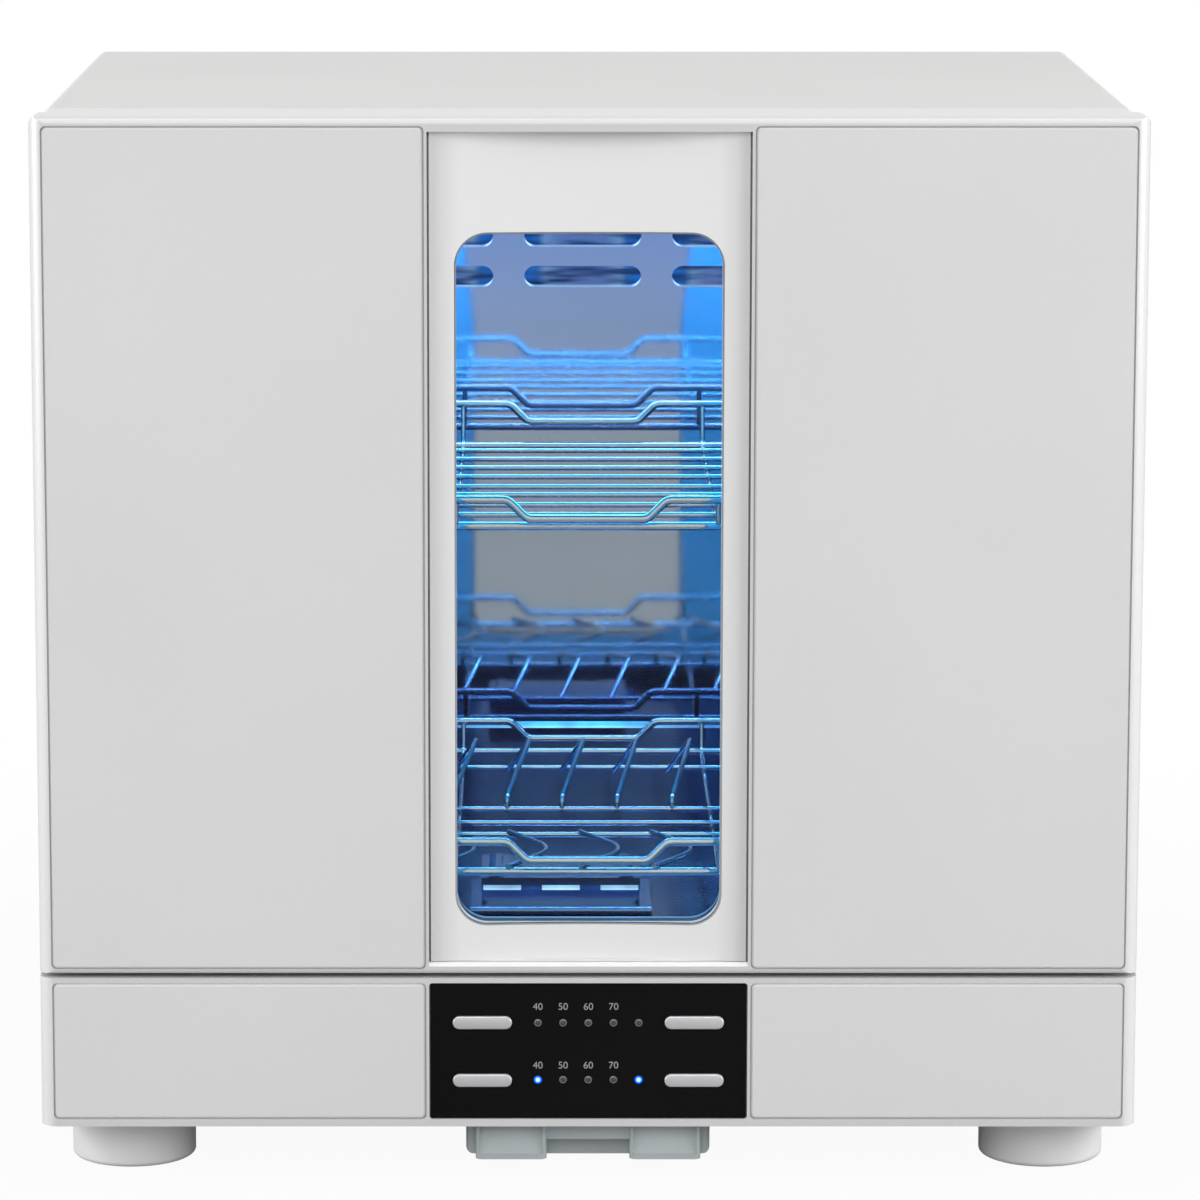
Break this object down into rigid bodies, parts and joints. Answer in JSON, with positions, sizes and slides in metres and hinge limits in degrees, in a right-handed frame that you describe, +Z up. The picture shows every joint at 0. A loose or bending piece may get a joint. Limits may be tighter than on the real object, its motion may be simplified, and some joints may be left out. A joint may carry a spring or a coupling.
{
  "type": "dish sterilizer cabinet",
  "caption": "Countertop cabinet that dries and sterilizes dishes: lift-up door with a window, wire racks in a steel chamber under a lamp, push buttons, fan heater and drip tray.",
  "frame": {"origin": "on the worktop, under the middle of the cabinet's bounding box", "axes": "+Z up, +X to the right seen from the front, the door faces -Y"},
  "size_m": [0.5, 0.4, 0.487],
  "materials": {
    "white_plastic": "satin moulded plastic",
    "grey_steel": "semi-gloss light grey paint",
    "grey_panel": "satin light grey panel",
    "column": "satin pale grey moulding",
    "stainless": "brushed stainless sheet",
    "polished": "polished stainless sheet",
    "outlet": "satin pressed sheet",
    "chrome": "chromed wire",
    "lamp": "clear quartz tube with metal caps",
    "black_gloss": "glossy black",
    "lens": "tinted clear plastic",
    "button": "satin silver paint on plastic",
    "board": "green glass-fibre board with parts",
    "galvanised": "galvanised sheet",
    "heater": "bare fins",
    "fan_black": "heat-proof black plastic",
    "fan_white": "pale plastic",
    "motor": "grey enamel",
    "ballast": "white enamel",
    "steel": "zinc-plated steel",
    "brass": "turned brass",
    "magnet": "plated magnet",
    "black_rubber": "soft black rubber",
    "silver": "bright ring",
    "glass": "tempered clear glass",
    "gasket": "pale silicone rubber",
    "tray": "grey-green plastic"
  },
  "bodies": {
    "cabinet": {"front_frame": "white_plastic", "base_housing": "white_plastic", "hinge_barrel": "white_plastic", "feet": "white_plastic", "lamp_sockets": "white_plastic", "case_wrap": "grey_steel", "back_panel": "grey_steel", "trim_left": "grey_panel", "trim_right": "grey_panel", "chamber_sides": "stainless", "chamber_ceiling": "stainless", "chamber_floor": "stainless", "rack_ledges": "stainless", "drain_spout": "stainless", "back_reflector": "polished", "lamp_guard": "polished", "lamp_reflector": "polished", "hot_air_outlet": "outlet", "uv_lamp": "lamp", "control_fascia": "black_gloss", "lamp_lenses": "lens", "control_board": "board", "power_supply": "board", "base_plate": "galvanised", "tray_rails": "galvanised", "heater_duct": "galvanised", "heater_element": "heater", "fan_housing": "fan_black", "fan_motor": "motor", "lamp_ballast": "ballast", "housing_screws": "steel", "hinge_bushes": "brass", "catch_magnets": "magnet", "cord_gland": "black_rubber", "foot_pads": "black_rubber"},
    "door": {"door_frame": "white_plastic", "door_panel_left": "grey_panel", "door_panel_right": "grey_panel", "window_bezel": "column", "window_trim": "silver", "window_glass": "glass", "glass_retainer": "white_plastic", "door_liner": "white_plastic", "door_gasket": "gasket", "hinge_ears": "galvanised", "hinge_pin": "steel", "strike_plates": "galvanised", "door_screws": "steel"},
    "fan": {"fan_wheel": "fan_white", "fan_shaft": "steel"},
    "hot_air_button": {"button_hot_air": "button"},
    "uv_button": {"button_uv": "button"},
    "auto_button": {"button_auto": "button"},
    "cancel_button": {"button_cancel": "button"},
    "upper_rack": {"upper_rack": "chrome"},
    "lower_rack": {"lower_rack": "chrome", "lower_grid": "chrome", "plate_hoops": "chrome", "cup_hoops": "chrome"},
    "drip_tray": {"drip_tray": "tray"}
  },
  "joints": [
    {"name": "door_swing", "type": "hinge", "parent": "cabinet", "child": "door", "pos_m": [0, -0.1755, 0.4818], "axis": [-1, 0, 0], "range_deg": [0, 90]},
    {"name": "fan_spin", "type": "hinge", "parent": "cabinet", "child": "fan", "pos_m": [-0.012, 0.054, 0.05], "axis": [0, 0, 1], "continuous": true},
    {"name": "upper_rack_slide", "type": "slide", "parent": "cabinet", "child": "upper_rack", "axis": [0, -1, 0], "range_m": [0, 0.058]},
    {"name": "lower_rack_slide", "type": "slide", "parent": "cabinet", "child": "lower_rack", "axis": [0, -1, 0], "range_m": [0, 0.026]},
    {"name": "drip_tray_slide", "type": "slide", "parent": "cabinet", "child": "drip_tray", "axis": [0, -1, 0], "range_m": [0, 0.12]},
    {"name": "hot_air_button_press", "type": "slide", "parent": "cabinet", "child": "hot_air_button", "axis": [0, 1, 0], "range_m": [0, 0.0008], "stiffness_N_per_m": 300, "springref_m": -0.0005},
    {"name": "uv_button_press", "type": "slide", "parent": "cabinet", "child": "uv_button", "axis": [0, 1, 0], "range_m": [0, 0.0008], "stiffness_N_per_m": 300, "springref_m": -0.0005},
    {"name": "auto_button_press", "type": "slide", "parent": "cabinet", "child": "auto_button", "axis": [0, 1, 0], "range_m": [0, 0.0008], "stiffness_N_per_m": 300, "springref_m": -0.0005},
    {"name": "cancel_button_press", "type": "slide", "parent": "cabinet", "child": "cancel_button", "axis": [0, 1, 0], "range_m": [0, 0.0008], "stiffness_N_per_m": 300, "springref_m": -0.0005}
  ]
}
